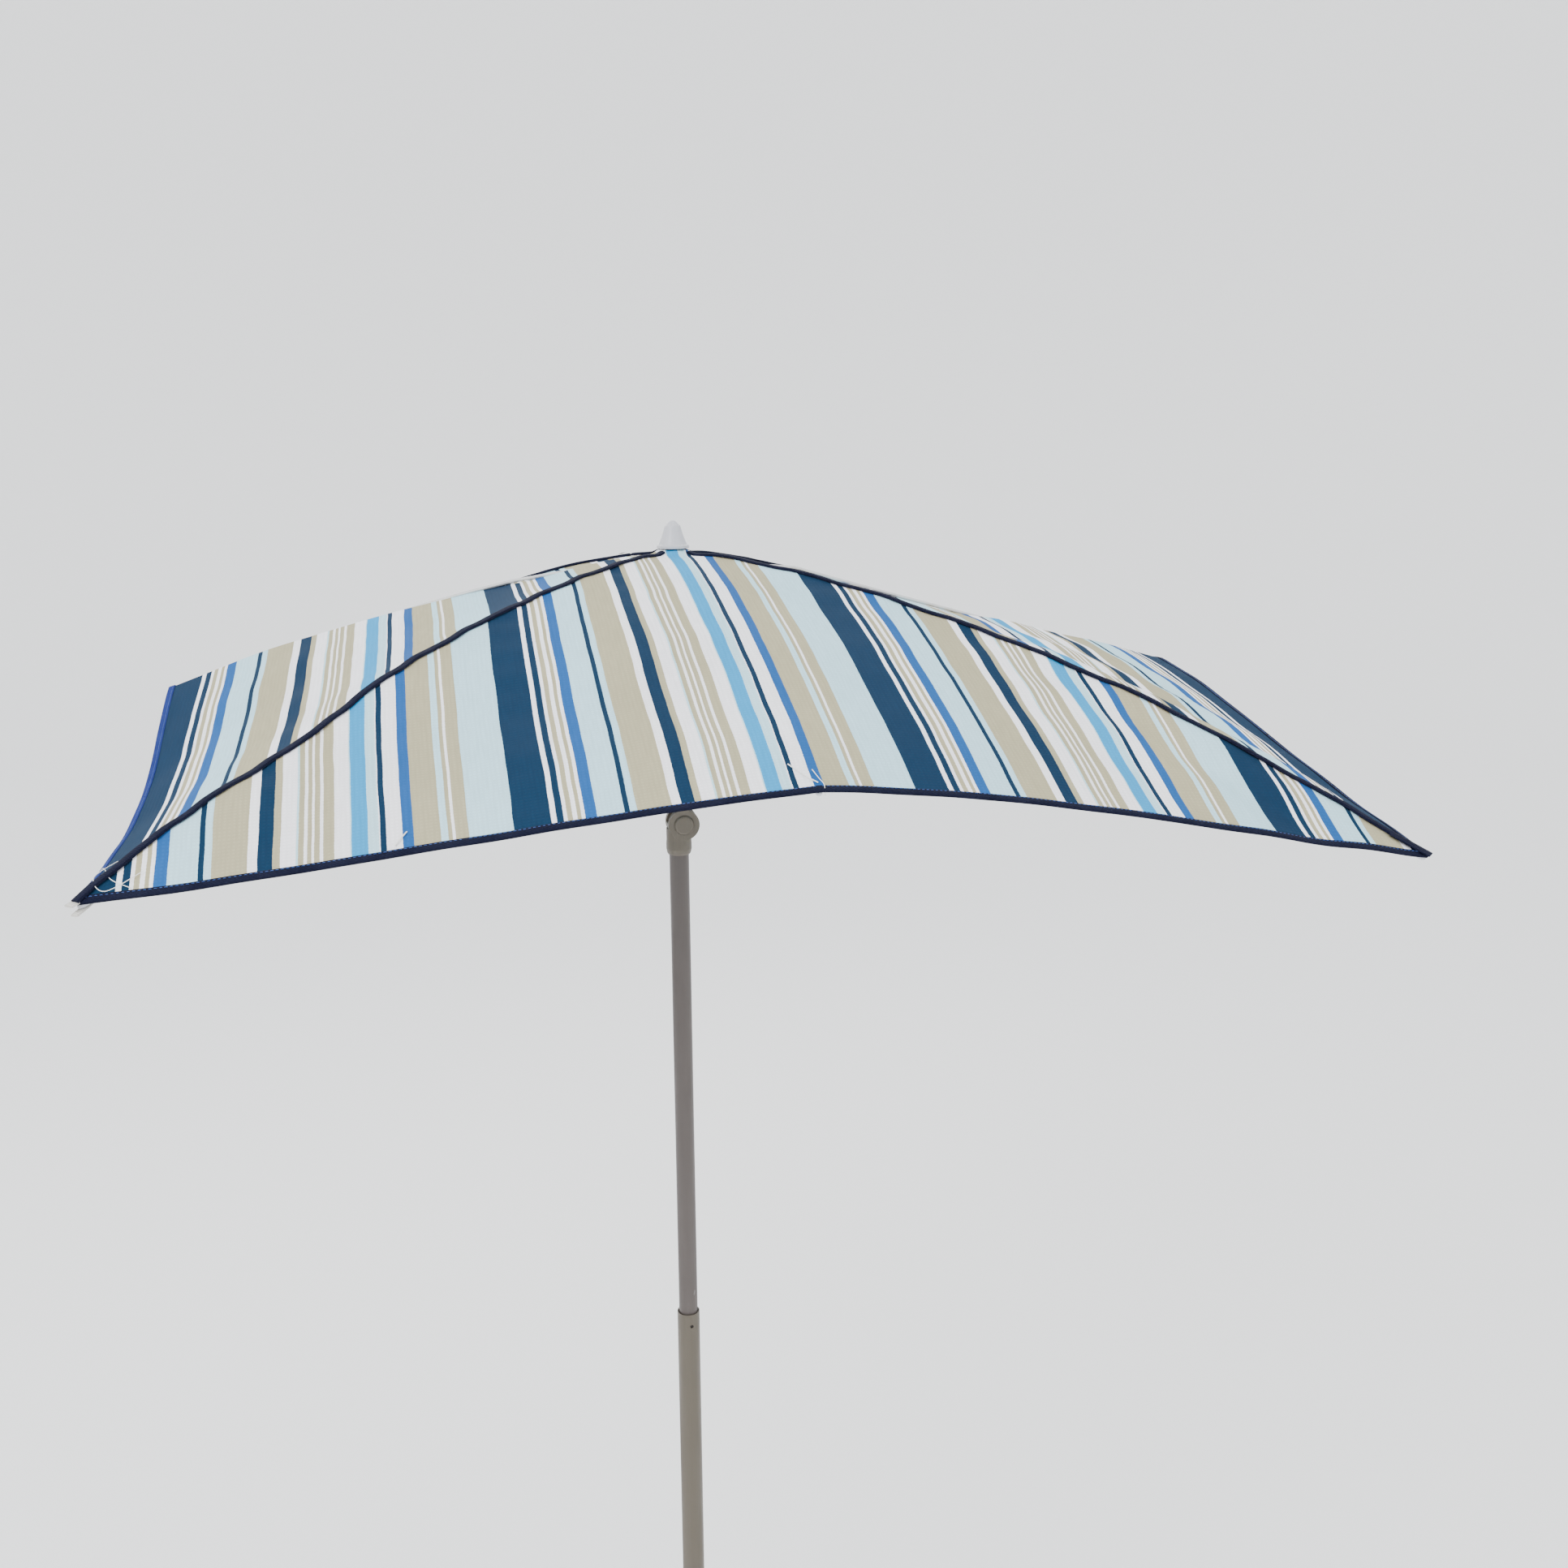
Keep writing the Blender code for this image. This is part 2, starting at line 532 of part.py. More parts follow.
def rib_tip_mesh():
    """A moulded cap on the rod's end, its nose along +Z."""
    bore, outer = RIB_R + GAP, 0.0034
    profile = [(0, 0.016), (0.0017, 0.0153), (0.0029, 0.0135), (outer, 0.011), (outer, -0.009),
               (outer - 0.0005, -0.010), (bore, -0.010), (bore, GAP), (0, GAP)]
    return turned("rib_tip", profile, 10)


# ---------------------------------------------------------------- canopy
def fabric_z(radius, tip):
    """Height of the fabric over one rib: on the rod, and drawn up to the finial at the centre."""
    _, x, y, fabric_fall, bend = tip
    radius = max(radius, 0.0208)
    length, tip_z, _ = rib_size(x, y, fabric_fall)
    rod = HUB_Z - rib_fall(radius - RING_R, length, HUB_Z - tip_z, bend)
    crown = 0.0065 * math.exp(-(radius / 0.2) ** 2) + 0.0039 * math.exp(-(radius - 0.0208) / 0.014)
    fade = min(1.0, max(0.0, (math.hypot(x, y) - radius) / 0.25))
    return rod + FABRIC_LIFT + crown * fade


def fabric_point(here, there, across, out):
    """A point between two ribs: across runs from one rib to the other, and out to the hem."""
    x = here[1] + (there[1] - here[1]) * across
    y = here[2] + (there[2] - here[2]) * across
    scallop = 1 - 0.030 * across * (1 - across) * out ** 2
    z = [fabric_z(out * math.hypot(tip[1], tip[2]), tip) for tip in (here, there)]
    return Vector((x * out * scallop, y * out * scallop, z[0] + (z[1] - z[0]) * across))


def canopy_panel(index):
    """The fabric that one rib carries, out to the middle of the gap on each side."""
    here, before, after = RIBS[index], RIBS[index - 1], RIBS[(index + 1) % len(RIBS)]
    rings = (0.0125, 0.0208, 0.030, 0.050, 0.10, 0.20, 0.35, 0.50, 0.65, 0.80, 0.92, 1.0)
    reach = math.hypot(here[1], here[2])
    columns = [(before, 0.5), (before, 0.25), (None, 0.0), (after, 0.25), (after, 0.5)]
    rows = []
    for step, ring_at in enumerate(rings):
        out = ring_at / reach if step < 4 else ring_at
        row = [fabric_point(here, side or here, share, out) for side, share in columns]
        for edge, inner in ((0, 1), (4, 3)):
            row[edge] += (row[inner] - row[edge]).normalized() * 0.0003
        rows.append(row)
    wide = len(columns)
    verts = [point for row in rows for point in row]
    faces = [(i * wide + j, i * wide + j + 1, (i + 1) * wide + j + 1, (i + 1) * wide + j)
             for i in range(len(rows) - 1) for j in range(wide - 1)]
    mesh = bpy.data.meshes.new("canopy")
    mesh.from_pydata(verts, [], [tuple(reversed(face)) for face in faces])
    panel = add("canopy_" + here[0], mesh, FABRIC)
    solid = panel.modifiers.new("thickness", "SOLIDIFY")
    solid.thickness = FABRIC_T
    solid.offset = 0
    return panel


# ---------------------------------------------------------------- finial
def finial():
    profile = [(0, 0.0340), (0.0022, 0.0335), (0.0044, 0.0319), (0.0068, 0.0293), (0.0082, 0.0281),
               (0.0095, 0.0270), (0.0102, 0.0249), (0.0119, 0.0189), (0.0142, 0.0122), (0.0164, 0.0067),
               (0.0174, 0.0046), (0.0191, 0.0040), (0.0199, 0.0032), (0.0199, 0.0006), (0.0194, 0.0),
               (0.0060, 0.0), (0.0060, -0.0195), (0.0052, -0.0205), (0, -0.0205)]
    add("finial", turned("finial", profile, 24), WHITE_PLASTIC, (0, 0, APEX_Z))


SHARED = {"stretcher": stretcher_mesh(), "stretcher_pin": pin_mesh(), "rib_tip": rib_tip_mesh()}

lower_pole()
middle_pole()
snap_button()
knuckle_lower()
knuckle_upper()
tilt_hardware()
upper_pole()
hub()
runner()
runner_catch()
for entry in RIBS:
    rib(*entry)
for number in range(len(RIBS)):
    canopy_panel(number)
finial()
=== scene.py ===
"""Looks of the square beach umbrella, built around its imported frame. Metres, +Z up, apex over the pole."""
import math

import bmesh
import bpy
import numpy as np
from mathutils import Matrix, Vector


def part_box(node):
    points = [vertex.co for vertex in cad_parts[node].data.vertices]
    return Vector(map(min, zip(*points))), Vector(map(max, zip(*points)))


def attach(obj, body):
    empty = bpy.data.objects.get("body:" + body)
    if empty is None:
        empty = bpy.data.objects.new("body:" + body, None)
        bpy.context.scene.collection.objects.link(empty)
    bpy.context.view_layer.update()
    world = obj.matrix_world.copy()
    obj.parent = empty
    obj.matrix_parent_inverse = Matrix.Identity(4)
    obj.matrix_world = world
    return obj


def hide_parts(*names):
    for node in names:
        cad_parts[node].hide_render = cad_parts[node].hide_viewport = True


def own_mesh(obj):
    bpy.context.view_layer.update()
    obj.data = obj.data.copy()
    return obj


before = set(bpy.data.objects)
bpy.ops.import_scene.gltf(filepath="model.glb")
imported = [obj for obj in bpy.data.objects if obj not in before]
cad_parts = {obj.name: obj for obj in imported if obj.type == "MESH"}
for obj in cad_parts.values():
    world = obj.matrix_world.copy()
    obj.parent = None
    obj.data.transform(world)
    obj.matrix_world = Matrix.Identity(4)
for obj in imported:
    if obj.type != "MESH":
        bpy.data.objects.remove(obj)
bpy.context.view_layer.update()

APEX_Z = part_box("finial")[0].z + 0.0205
LEFT, RIGHT, HALF = -0.598, 0.652, 0.625      # the canopy's sides, and half its depth
FRONT_X = 0.036                               # the front rib leans a little to the right
CLOTH_T = 0.0007
PERIOD = 0.3647                               # one repeat of the stripes
STRIPE_START = -0.0788 * PERIOD               # the stripes' place at a front or back panel's left corner
SIDE_STRETCH, SIDE_START, SIDE_LEAST = 1.01, 0.0384, -0.032   # the stripes of the left and right panels
HEM_INNER = 0.985                             # just inside the hem, as a share of the way out
HALF_GORES = ((-1, 1.0, 0.5, "a"), (0, 0.0, 0.5, "b"))   # each side of a rib: gore offset, from, to, label
CAMERA_LENS = 38.50
CAMERA_PLACE = (-0.306, -2.0505, 0.1686)      # from the apex
CAMERA_TURN = (-12.2032, 90 - 12.6929, -0.3486)   # yaw, pitch and roll, in degrees


def add_object(name, data):
    obj = bpy.data.objects.new(name, data)
    bpy.context.scene.collection.objects.link(obj)
    return obj


# ---------------------------------------------------------------- materials
class Paint:
    """A small helper that builds one procedural material."""

    def __init__(self, name):
        self.mat = bpy.data.materials.new(name)
        self.mat.use_nodes = True
        self.nodes = self.mat.node_tree.nodes
        self.links = self.mat.node_tree.links
        self.shader = self.nodes["Principled BSDF"]
        self.coord = self.nodes.new("ShaderNodeTexCoord").outputs["Object"]

    def link(self, a, b):
        self.links.new(a, b)

    def node(self, kind, **values):
        made = self.nodes.new(kind)
        for key, value in values.items():
            setattr(made, key, value)
        return made

    def noise(self, scale, detail=4.0, source=None, stretch=None):
        made = self.node("ShaderNodeTexNoise")
        made.inputs["Scale"].default_value = scale
        made.inputs["Detail"].default_value = detail
        source = source or self.coord
        if stretch:
            mapping = self.node("ShaderNodeMapping")
            mapping.inputs["Scale"].default_value = stretch
            self.link(source, mapping.inputs["Vector"])
            source = mapping.outputs["Vector"]
        self.link(source, made.inputs["Vector"])
        return made.outputs["Fac"]

    def remap(self, value, low, high, a, b):
        made = self.node("ShaderNodeMapRange")
        for key, number in (("From Min", low), ("From Max", high), ("To Min", a), ("To Max", b)):
            made.inputs[key].default_value = number
        self.link(value, made.inputs["Value"])
        return made.outputs["Result"]

    def math(self, operation, a, b=None):
        made = self.node("ShaderNodeMath", operation=operation)
        for socket, value in zip(made.inputs, (a, b)):
            if value is None:
                continue
            if isinstance(value, (int, float)):
                socket.default_value = value
            else:
                self.link(value, socket)
        return made.outputs["Value"]

    def mix(self, factor, a, b, blend="MIX"):
        made = self.node("ShaderNodeMix", data_type="RGBA", blend_type=blend)
        for socket, value in zip((made.inputs[0], made.inputs[6], made.inputs[7]), (factor, a, b)):
            if isinstance(value, (int, float)):
                socket.default_value = value
            elif isinstance(value, tuple):
                socket.default_value = (*value, 1)
            else:
                self.link(value, socket)
        return made.outputs[2]

    def finish(self, color, roughness, height=None, strength=0.2, distance=0.0004):
        for value, key in ((color, "Base Color"), (roughness, "Roughness")):
            socket = self.shader.inputs[key]
            if isinstance(value, tuple):
                socket.default_value = (*value, 1)
            elif isinstance(value, (int, float)):
                socket.default_value = value
            else:
                self.link(value, socket)
        if height is not None:
            bump = self.node("ShaderNodeBump")
            bump.inputs["Strength"].default_value = strength
            bump.inputs["Distance"].default_value = distance
            self.link(height, bump.inputs["Height"])
            self.link(bump.outputs["Normal"], self.shader.inputs["Normal"])
        return self.mat


def srgb(red, green, blue):
    return tuple(((c / 255 + 0.055) / 1.055) ** 2.4 for c in (red, green, blue))


DARK, PALE, TAUPE, WHITE, MEDIUM, SKY = (
    srgb(16, 45, 70), srgb(176, 213, 225), srgb(164, 158, 130), srgb(238, 238, 242),
    srgb(36, 86, 146), srgb(44, 144, 198))
SHADES = {"d": DARK, "p": PALE, "t": TAUPE, "w": WHITE, "m": MEDIUM, "s": SKY}
# the stripes of one repeat, from the wide dark stripe's right edge on: colour and width in thousandths
STRIPES = ("w13 d17 w9 t13 w11 t10 w9 m29 p68 d13 p17 t83 w23 d34 t17 w36 p5 t13 w8 t10 w6 t13 w8 t26 "
           "w37 p3 s38 p25 w3 d14 w38 m26 t63 p17 t10 w7 t32 p107 d89")


def weave(paint):
    """Threads across and along, in the cloth's own coordinates."""
    cloth = paint.node("ShaderNodeAttribute", attribute_name="cloth").outputs["Vector"]
    heights = []
    for direction in ("X", "Y"):
        wave = paint.node("ShaderNodeTexWave", bands_direction=direction)
        wave.inputs["Scale"].default_value = 75.0
        wave.inputs["Distortion"].default_value = 0.6
        paint.link(cloth, wave.inputs["Vector"])
        heights.append(wave.outputs["Fac"])
    return cloth, paint.math("MULTIPLY", *heights)


def striped_cloth():
    paint = Paint("striped_canvas")
    cloth, threads = weave(paint)
    split = paint.node("ShaderNodeSeparateXYZ")
    paint.link(cloth, split.inputs[0])
    wander = paint.remap(paint.noise(9.0, 2.0), 0, 1, -0.0022, 0.0022)
    place = paint.math("ADD", split.outputs["X"], wander)
    fuzz = paint.remap(paint.noise(900.0, 1.0), 0, 1, -0.00045, 0.00045)
    place = paint.math("DIVIDE", paint.math("ADD", place, fuzz), PERIOD)
    turn = paint.math("FRACT", place)
    color, at = None, 0.0
    for stripe in STRIPES.split():
        shade = SHADES[stripe[0]]
        color = shade if color is None else paint.mix(paint.math("GREATER_THAN", turn, at), color, shade)
        at += int(stripe[1:]) / 1000
    slub = paint.remap(paint.noise(260.0, 2.0, cloth, (1.0, 0.12, 1.0)), 0.3, 0.7, 0.955, 1.03)
    blotch = paint.remap(paint.noise(7.0, 5.0), 0.3, 0.7, 0.96, 1.03)
    thread = paint.remap(threads, 0, 1, 0.93, 1.03)
    shade = paint.math("MULTIPLY", paint.math("MULTIPLY", slub, blotch), thread)
    combined = paint.node("ShaderNodeCombineXYZ")
    for socket in combined.inputs:
        paint.link(shade, socket)
    color = paint.mix(1.0, color, combined.outputs[0], "MULTIPLY")
    height = paint.math("ADD", threads, paint.math("MULTIPLY", paint.noise(420.0, 2.0), 0.6))
    paint.shader.inputs["Specular IOR Level"].default_value = 0.10
    return paint.finish(color, 0.88, height, 0.35, 0.0004)


def cloth_of_one_color(name, color, worn, rough=0.85):
    paint = Paint(name)
    threads = paint.noise(700.0, 2.0)
    wear = paint.remap(paint.noise(46.0, 6.0), 0.35, 0.75, 0.0, worn)
    pale = tuple(min(1.0, c * 1.7 + 0.012) for c in color)
    shade = paint.mix(wear, color, pale)
    ribs = paint.node("ShaderNodeTexWave", bands_direction="DIAGONAL")
    ribs.inputs["Scale"].default_value = 170.0
    ribs.inputs["Distortion"].default_value = 1.5
    paint.link(paint.coord, ribs.inputs["Vector"])
    paint.shader.inputs["Specular IOR Level"].default_value = 0.12
    height = paint.math("ADD", threads, ribs.outputs["Fac"])
    return paint.finish(shade, rough, height, 0.5, 0.0004)


def moulded(name, color, rough=0.42, speck=0.10, dirt=(0.35, 0.33, 0.30)):
    """Moulded plastic: a fine grain, handling marks and dirt in patches."""
    paint = Paint(name)
    grain = paint.noise(1400.0, 2.0)
    patch = paint.remap(paint.noise(60.0, 6.0), 0.45, 0.8, 0.0, speck)
    scuff = paint.noise(120.0, 5.0, stretch=(1.0, 1.0, 0.15))
    shade = paint.mix(patch, color, dirt)
    roughness = paint.remap(scuff, 0.3, 0.7, rough - 0.08, rough + 0.14)
    return paint.finish(shade, roughness, grain, 0.12, 0.0002)


def painted_tube(name, color):
    """Powder-coated tube: slight orange peel, long scratches and a few scuffs down to lighter primer."""
    primer = (0.26, 0.25, 0.24)
    paint = Paint(name)
    peel = paint.noise(900.0, 2.0)
    scratch = paint.noise(95.0, 6.0, stretch=(1.0, 1.0, 0.06))
    scuff = paint.noise(75.0, 8.0, stretch=(1.0, 1.0, 0.35))
    bare = paint.remap(scuff, 0.72, 0.76, 0.0, 0.75)
    tone = paint.remap(paint.noise(16.0, 4.0), 0.3, 0.7, 0.0, 0.16)
    shade = paint.mix(tone, color, tuple(c * 0.8 for c in color))
    shade = paint.mix(bare, shade, primer)
    roughness = paint.remap(scratch, 0.35, 0.65, 0.36, 0.56)
    paint.shader.inputs["Metallic"].default_value = 0.15
    return paint.finish(shade, roughness, peel, 0.10, 0.0002)


def metal(name, color, rough, metallic=1.0):
    paint = Paint(name)
    brushed = paint.noise(380.0, 5.0, stretch=(1.0, 1.0, 0.1))
    dull = paint.remap(paint.noise(70.0, 5.0), 0.4, 0.75, 0.0, 0.35)
    shade = paint.mix(dull, color, tuple(c * 0.62 for c in color))
    paint.shader.inputs["Metallic"].default_value = metallic
    return paint.finish(shade, paint.remap(brushed, 0.3, 0.7, rough, rough + 0.2), brushed, 0.08, 0.0002)


def floor_material():
    paint = Paint("studio_floor")
    return paint.finish((0.90, 0.90, 0.895), paint.remap(paint.noise(3.0), 0, 1, 0.72, 0.86))


MAT = {
    "cloth": striped_cloth(),
    "navy": cloth_of_one_color("navy_binding", srgb(8, 12, 34), 0.3),
    "blue": cloth_of_one_color("royal_blue_binding", srgb(20, 40, 104), 0.3),
    "pocket": cloth_of_one_color("pale_webbing", srgb(186, 184, 178), 0.3),
    "tag": cloth_of_one_color("white_tape", srgb(224, 224, 222), 0.1),
    "stitch": cloth_of_one_color("blue_thread", srgb(60, 84, 140), 0.2, 0.6),
    "thread": cloth_of_one_color("white_thread", srgb(226, 226, 222), 0.1, 0.6),
    "white": moulded("white_satin_plastic", srgb(205, 207, 212)),
    "cap": moulded("white_gloss_plastic", srgb(178, 179, 185), 0.34, 0.05),
    "taupe": moulded("taupe_moulding", srgb(88, 81, 70), 0.50, 0.22, (0.05, 0.042, 0.03)),
    "tube": painted_tube("taupe_tube_paint", srgb(78, 71, 68)),
    "lower": painted_tube("beige_tube_paint", srgb(84, 77, 66)),
    "rib": metal("coated_rib_steel", srgb(196, 197, 196), 0.38, 0.35),
    "dark_steel": metal("tarnished_steel", srgb(46, 42, 38), 0.5, 0.6),
    "zinc": metal("zinc_plate", srgb(196, 197, 200), 0.30),
}


def repaint(names, key):
    for name in names:
        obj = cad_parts[name]
        for slot in obj.material_slots:
            slot.material = MAT[key]
        if not obj.material_slots:
            obj.data.materials.append(MAT[key])


# ---------------------------------------------------------------- canopy shape
def smooth_table(*pairs):
    """A curve through a few (distance, height) pairs, with smooth joins."""
    xs = np.array([p[0] for p in pairs])
    ys = np.array([p[1] for p in pairs])
    slopes = np.gradient(ys, xs)

    def at(x):
        x = float(np.clip(x, xs[0], xs[-1]))
        i = int(np.clip(np.searchsorted(xs, x) - 1, 0, len(xs) - 2))
        h = xs[i + 1] - xs[i]
        t = (x - xs[i]) / h
        return float(ys[i] * (1 + 2 * t) * (1 - t) ** 2 + slopes[i] * h * t * (1 - t) ** 2
                     + ys[i + 1] * t * t * (3 - 2 * t) + slopes[i + 1] * h * t * t * (t - 1))
    return at


def wavy_left_seam(r):
    """The front-left seam dips between two low bumps past its middle."""
    dip = 0.009 * math.exp(-((r - 0.62) / 0.09) ** 2)
    return -(0.071 * r + 0.222 * r * r) - dip - 0.0006 * math.sin(r * 95)


def right_seam(r):
    return -(0.081 * r + 0.237 * r * r) - 0.0008 * math.sin(r * 60)


def middle_ridge(r):
    """The front and back ribs, in the middle of their panels."""
    return -(0.11 * r + 0.25 * r * r)


left_ridge = smooth_table((0, 0.0), (0.06, -0.0086), (0.12, -0.0208), (0.18, -0.0349), (0.24, -0.046),
                          (0.35, -0.071), (0.41, -0.0855), (0.47, -0.103), (0.52, -0.120), (0.60, -0.149))
right_ridge = smooth_table((0, 0.0), (0.03, -0.0058), (0.09, -0.0202), (0.15, -0.0359), (0.28, -0.067),
                           (0.345, -0.0855), (0.443, -0.1054), (0.51, -0.1224), (0.58, -0.1398),
                           (0.655, -0.1615))
back_left_seam = smooth_table((0, 0.0), (0.08, -0.0135), (0.16, -0.0275), (0.30, -0.065), (0.50, -0.126),
                              (0.68, -0.180), (0.865, -0.236))
back_right_seam = smooth_table((0, 0.0), (0.08, -0.0125), (0.16, -0.026), (0.40, -0.083), (0.65, -0.167),
                               (0.903, -0.267))

# name, tip x, tip y and the height of the cloth below the apex by distance from the pole
RIBS = (
    ("right", RIGHT, 0.0, right_ridge),
    ("back_right", RIGHT, HALF, back_right_seam),
    ("back", 0.018, HALF, middle_ridge),
    ("back_left", LEFT, HALF, back_left_seam),
    ("left", LEFT, 0.0, left_ridge),
    ("front_left", LEFT, -HALF, wavy_left_seam),
    ("front", FRONT_X, -HALF, middle_ridge),
    ("front_right", RIGHT, -HALF, right_seam),
)
CORNERS = {"back_right", "back_left", "front_left", "front_right"}


# how far a gore's hem hangs below its ribs, with the power of the way out that it follows
HEM_DROPS = {"left-front_left": (0.027, 3), "back_left-left": (0.020, 3),
             "front_right-right": (-0.006, 2), "front-front_right": (-0.0085, 2)}
# how far each side's hem is drawn in towards the pole, as a share
HEM_PULLS = {"front": 0.002, "back": 0.020, "left": 0.012, "right": 0.008}


def gore_sag(index, across, out):
    """How far the cloth hangs below the line between two ribs."""
    name = RIBS[index][0] + "-" + RIBS[(index + 1) % 8][0]
    drop, power = HEM_DROPS.get(name, (0.0, 1))
    belly = 4 * across * (1 - across)
    return 0.010 * belly * out * (1 - out) + drop * math.sin(math.pi * across) * out ** power


def ripples(x, y, out):
    """Shallow waves over the cloth: lines of tension and slack, strongest at the right."""
    body = min(1.0, out * 2.2) * (1 - 0.75 * max(0.0, (out - 0.85) / 0.15))
    wave = 0.0011 * math.sin(31 * y + 7 * math.sin(5 * x + 1.3)) * math.sin(9 * x + 1.1)
    wave += 0.0008 * math.sin(48 * x + 17 * y + 3 * math.sin(7 * y))
    right = max(0.0, min(1.0, (x - 0.22) / 0.25)) * max(0.0, min(1.0, (0.15 - y) / 0.3))
    wave += 0.0040 * right * math.sin(58 * (x + 0.75 * y) + 1.0) * math.exp(-((x + y - 0.05) / 0.35) ** 2)
    left = max(0.0, min(1.0, (-0.2 - x) / 0.25))
    wave += 0.0016 * left * math.sin(44 * (y - 0.6 * x))
    return wave * body


def flare(radius):
    """The cloth is drawn up to the finial at its centre."""
    return -0.0125 + 0.0122 * math.exp(-max(0.0, radius - 0.018) / 0.0105)


def panel_of(index):
    """The side of the canopy that a gore belongs to."""
    pair = {RIBS[index][0], RIBS[(index + 1) % 8][0]}
    return next(side for side in ("front", "back", "left", "right") if side in pair)


def cloth_point(index, across, out):
    """A point between rib index and the next, in the frame's coordinates."""
    here, there = RIBS[index], RIBS[(index + 1) % 8]
    reach = [math.hypot(rib[1], rib[2]) for rib in (here, there)]
    x = here[1] + (there[1] - here[1]) * across
    y = here[2] + (there[2] - here[2]) * across
    pull = 1 - HEM_PULLS[panel_of(index)] * math.sin(math.pi * across) ** 2 * out ** 3
    x, y = x * out * pull, y * out * pull
    ease = across * across * (3 - 2 * across)
    share = 0.65 * across + 0.35 * ease
    z = (1 - share) * here[3](out * reach[0]) + share * there[3](out * reach[1])
    z -= gore_sag(index, across, out)
    z += ripples(x, y, out) * (1 - 0.6 * abs(2 * across - 1) ** 3)
    radius = math.hypot(x, y)
    near = math.exp(-(radius / 0.045) ** 2)
    z = z * (1 - near) + flare(radius) * near
    return Vector((x, y, APEX_Z + z - 0.0006))


def stripe_coordinate(point, panel):
    """Cloth coordinates: across the stripes, counted from one edge of the canopy, and along them."""
    x, y = point.x, point.y
    if panel == "front":
        return x - LEFT + STRIPE_START + 0.004 * math.sin((y + 0.2) * 9) * (x / 0.6), y
    if panel == "back":
        return RIGHT - x + STRIPE_START, -y
    if panel == "left":
        return max((x - LEFT) * SIDE_STRETCH - SIDE_START, SIDE_LEAST), y
    return max((RIGHT - x) * SIDE_STRETCH - SIDE_START, SIDE_LEAST), -y


# a petal's grid: shares of the way out, closer at the crown, and (gore offset, place across the gore)
RINGS = [r / 0.65 for r in (0.0135, 0.020, 0.027, 0.036, 0.050, 0.075)]
RINGS += [0.17 + 0.83 * i / 40 for i in range(41)]
COLUMNS = [(-1, 0.5 + i / 32) for i in range(16)] + [(0, i / 32) for i in range(17)]


def surface_normal(index, across, out):
    """The cloth's upward normal, from the shape itself, so that neighbouring petals shade as one."""
    step = 0.004
    a0, a1 = max(0.0, across - step), min(1.0, across + step)
    o0, o1 = max(0.018, out - step), min(1.0, out + step)
    along = cloth_point(index, a1, out) - cloth_point(index, a0, out)
    outward = cloth_point(index, across, o1) - cloth_point(index, across, o0)
    return outward.cross(along).normalized()


def petal(number):
    """The cloth that one rib carries, out to the middle of the gore on each side: two skins and a rim."""
    name = "canopy_cloth_" + RIBS[number][0]
    places = [((number + gore) % 8, across, out) for out in RINGS for gore, across in COLUMNS]
    top = [cloth_point(*place) for place in places]
    normals = [surface_normal(*place) for place in places]
    count, wide, tall = len(top), len(COLUMNS), len(RINGS)
    quads = [(i * wide + j, (i + 1) * wide + j, (i + 1) * wide + j + 1, i * wide + j + 1)
             for i in range(tall - 1) for j in range(wide - 1)]
    panels = [panel_of((number + COLUMNS[j][0]) % 8) for _ in range(tall - 1) for j in range(wide - 1)]
    rim = [i * wide for i in range(tall)] + [(tall - 1) * wide + j for j in range(1, wide)]
    rim += [i * wide + wide - 1 for i in range(tall - 2, -1, -1)] + list(range(wide - 2, 0, -1))
    verts = top + [point - normal * CLOTH_T for point, normal in zip(top, normals)]
    faces = quads + [tuple(v + count for v in reversed(quad)) for quad in quads]
    panels = panels + panels
    for a, b in zip(rim, rim[1:] + rim[:1]):
        faces.append((b, a, a + count, b + count))
        panels.append(panel_of(places[a][0]))
    mesh = bpy.data.meshes.new(name)
    mesh.from_pydata(verts, [], faces)
    if Vector(mesh.polygons[len(quads) // 2].normal).z < 0:
        mesh.flip_normals()
    layer = mesh.attributes.new("cloth", "FLOAT_VECTOR", "CORNER")
    values, custom = [], []
    for polygon, panel in zip(mesh.polygons, panels):
        side = 1 if max(polygon.vertices) < count else -1 if min(polygon.vertices) >= count else 0
        for vertex in polygon.vertices:
            values += [*stripe_coordinate(mesh.vertices[vertex].co, panel), 0.0]
            custom.append(tuple(normals[vertex % count] * side if side else polygon.normal))
    layer.data.foreach_set("vector", values)
    mesh.shade_smooth()
    mesh.normals_split_custom_set(custom)
    mesh.materials.append(MAT["cloth"])
    return add_object(name, mesh), sum(p.area for p in mesh.polygons if max(p.vertices) < count)


def rib_axis(name):
    """Unit vectors along a rib and across it, in plan."""
    _, x, y, _ = next(rib for rib in RIBS if rib[0] == name)
    along = Vector((x, y, 0)).normalized()
    return along, Vector((-along.y, along.x, 0))


def carry(obj, name):
    """Rides on one rib."""
    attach(obj, "rib_" + name)
    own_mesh(obj)


def build_canopy():
    for number, (name, _, _, _) in enumerate(RIBS):
        obj, area = petal(number)
        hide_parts("canopy_" + name)
        carry(obj, name)


